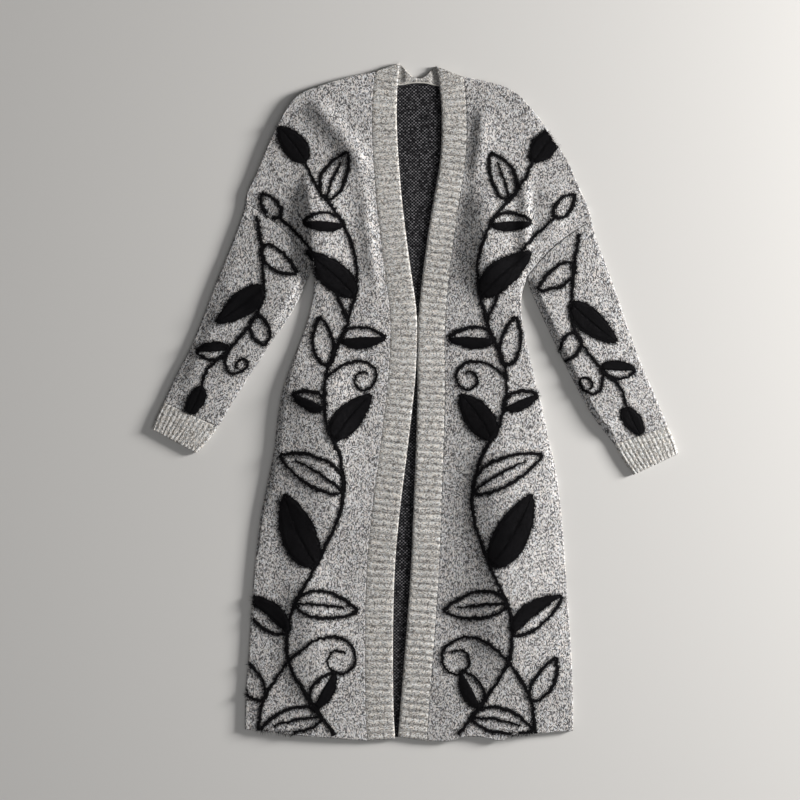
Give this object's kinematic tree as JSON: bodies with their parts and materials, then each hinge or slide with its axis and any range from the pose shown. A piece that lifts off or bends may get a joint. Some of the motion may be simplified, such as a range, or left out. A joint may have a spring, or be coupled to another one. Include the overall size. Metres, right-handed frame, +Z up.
{
  "type": "duster cardigan laid flat",
  "caption": "Long open-front knitted duster cardigan laid flat, with ribbed front bands, drop shoulders, long sleeves and ribbed cuffs.",
  "frame": {"origin": "middle of the garment's footprint, on the surface it lies on", "axes": "+Z up out of the fronts, +Y from the hem to the neck, +X towards the wearer's left sleeve"},
  "size_m": [0.7764, 0.9994, 0.0161],
  "materials": {
    "marl_knit": "matt double-faced knit, off-white flecked with black",
    "rib_knit": "matt rib knit, off-white with fine dark flecks",
    "fuzzy_yarn": "black eyelash yarn, soft and hairy",
    "inside_knit": "black inner face of the knit with fine light specks",
    "seam_thread": "matt off-white linking thread"
  },
  "bodies": {
    "root": {"back_panel": "marl_knit", "front_right": "marl_knit", "front_left": "marl_knit", "sleeve_right": "marl_knit", "sleeve_left": "marl_knit", "cuff_right": "rib_knit", "cuff_left": "rib_knit", "band_right": "rib_knit", "band_left": "rib_knit", "neck_band": "rib_knit"}
  },
  "joints": []
}
